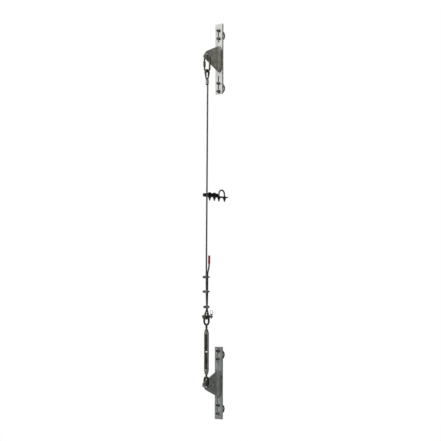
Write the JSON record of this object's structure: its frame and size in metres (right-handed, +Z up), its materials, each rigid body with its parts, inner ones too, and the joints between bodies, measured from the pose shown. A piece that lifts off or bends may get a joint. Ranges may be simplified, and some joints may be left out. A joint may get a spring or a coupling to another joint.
{
  "type": "ladder lifeline kit",
  "caption": "Taut wire rope lifeline for a ladder, hung from a clamped bracket by a carabiner and tensioned at a lower bracket by a jaw turnbuckle.",
  "frame": {"origin": "on the rear face of the top backbone, midway between the two rungs that it is clamped to", "axes": "+X along the rungs to the climber's right, +Y away from the climber (out of the backbones' rear faces), +Z up"},
  "size_m": [0.0683, 0.1882, 2.253],
  "materials": {
    "bright_zinc": "hot-dip galvanised, pale spangled zinc",
    "gusset_steel": "galvanised, dull dark grey",
    "weathered_zinc": "galvanised, weathered grey-green",
    "weld_metal": "weld bead with surface rust",
    "yellow_chromate": "zinc plated with a yellow chromate film",
    "cable_steel": "galvanised wire rope",
    "swage_metal": "pressed aluminium ferrule",
    "red_plastic": "soft red vinyl",
    "black_plastic": "black moulded plastic",
    "forged_steel": "drop forged, galvanised, dark",
    "threaded_zinc": "zinc plated fasteners"
  },
  "bodies": {
    "root": {"bottom_backbone": "weathered_zinc", "bottom_gusset": "weathered_zinc", "bottom_thimble": "bright_zinc", "bottom_ubolt_lower": "weathered_zinc", "bottom_ubolt_nut_1": "threaded_zinc", "bottom_ubolt_nut_2": "threaded_zinc", "bottom_ubolt_nut_3": "threaded_zinc", "bottom_ubolt_nut_4": "threaded_zinc", "bottom_ubolt_upper": "weathered_zinc", "bottom_weld_bead": "weld_metal", "cable_end_cap": "red_plastic", "clip1_nut_left": "threaded_zinc", "clip1_nut_right": "threaded_zinc", "clip1_saddle": "forged_steel", "clip1_ubolt": "threaded_zinc", "clip2_nut_left": "threaded_zinc", "clip2_nut_right": "threaded_zinc", "clip2_saddle": "forged_steel", "clip2_ubolt": "threaded_zinc", "clip3_nut_left": "threaded_zinc", "clip3_nut_right": "threaded_zinc", "clip3_saddle": "forged_steel", "clip3_ubolt": "threaded_zinc", "guide_arm": "weathered_zinc", "guide_block": "black_plastic", "guide_block_bolt_front": "threaded_zinc", "guide_block_bolt_rear": "threaded_zinc", "guide_block_nut_front": "threaded_zinc", "guide_block_nut_rear": "threaded_zinc", "guide_ubolt": "weathered_zinc", "guide_ubolt_nut_front": "threaded_zinc", "guide_ubolt_nut_rear": "threaded_zinc", "lifeline_cable": "cable_steel", "top_backbone": "bright_zinc", "top_ferrule": "swage_metal", "top_gusset": "gusset_steel", "top_thimble": "bright_zinc", "top_ubolt_lower": "bright_zinc", "top_ubolt_nut_1": "threaded_zinc", "top_ubolt_nut_2": "threaded_zinc", "top_ubolt_nut_3": "threaded_zinc", "top_ubolt_nut_4": "threaded_zinc", "top_ubolt_upper": "bright_zinc", "top_weld_bead": "weld_metal"},
    "carabiner": {"carabiner_body": "yellow_chromate", "carabiner_gate_pin": "yellow_chromate"},
    "gate": {"carabiner_gate": "yellow_chromate"},
    "lock_sleeve": {"carabiner_lock_sleeve": "yellow_chromate"},
    "turnbuckle": {"turnbuckle_body": "forged_steel"},
    "upper_end": {"upper_jaw": "forged_steel", "upper_jaw_pin": "threaded_zinc", "upper_linch_pin": "threaded_zinc", "upper_jam_nut": "threaded_zinc"},
    "lower_end": {"lower_jaw": "forged_steel", "lower_jaw_pin": "threaded_zinc", "lower_linch_pin": "threaded_zinc", "lower_jam_nut": "threaded_zinc"},
    "upper_ring": {"upper_linch_ring": "bright_zinc"},
    "lower_ring": {"lower_linch_ring": "bright_zinc"}
  },
  "joints": [
    {"name": "carabiner_swing", "type": "hinge", "parent": "root", "child": "carabiner", "pos_m": [0, -0.1055, 0.01905], "axis": [1, 0, 0], "range_deg": [-0.8, 0.8]},
    {"name": "carabiner_gate", "type": "hinge", "parent": "carabiner", "child": "gate", "pos_m": [-0.02014, -0.1055, -0.05033], "axis": [0, 1, 0], "range_deg": [0, 14], "stiffness_Nm_per_rad": 0.12, "springref_deg": -20.05},
    {"name": "sleeve_slide", "type": "slide", "parent": "gate", "child": "lock_sleeve", "axis": [-0.0287, 0, 0.9996], "range_m": [0, 0.0055]},
    {"name": "turnbuckle_turn", "type": "hinge", "parent": "root", "child": "turnbuckle", "pos_m": [0, -0.1055, -1.6565], "axis": [0, 0, 1], "range_deg": [0, 720]},
    {"name": "upper_end_slide", "type": "slide", "parent": "root", "child": "upper_end", "axis": [0, 0, 1], "range_m": [0, 0.0039]},
    {"name": "lower_end_slide", "type": "slide", "parent": "root", "child": "lower_end", "axis": [0, 0, -1], "range_m": [0, 0.00392]},
    {"name": "upper_ring_swing", "type": "hinge", "parent": "upper_end", "child": "upper_ring", "pos_m": [0.02819, -0.09524, -1.4488], "axis": [0.9397, 0.342, 0], "range_deg": [0, 120]},
    {"name": "lower_ring_swing", "type": "hinge", "parent": "lower_end", "child": "lower_ring", "pos_m": [0.03, -0.1055, -1.83295], "axis": [1, 0, 0], "range_deg": [0, 120]}
  ],
  "couplings": [
    {"joint": "turnbuckle_turn", "follows": "upper_end_slide", "rad_per_m": 3215.4},
    {"joint": "lower_end_slide", "follows": "upper_end_slide", "ratio": 1}
  ]
}
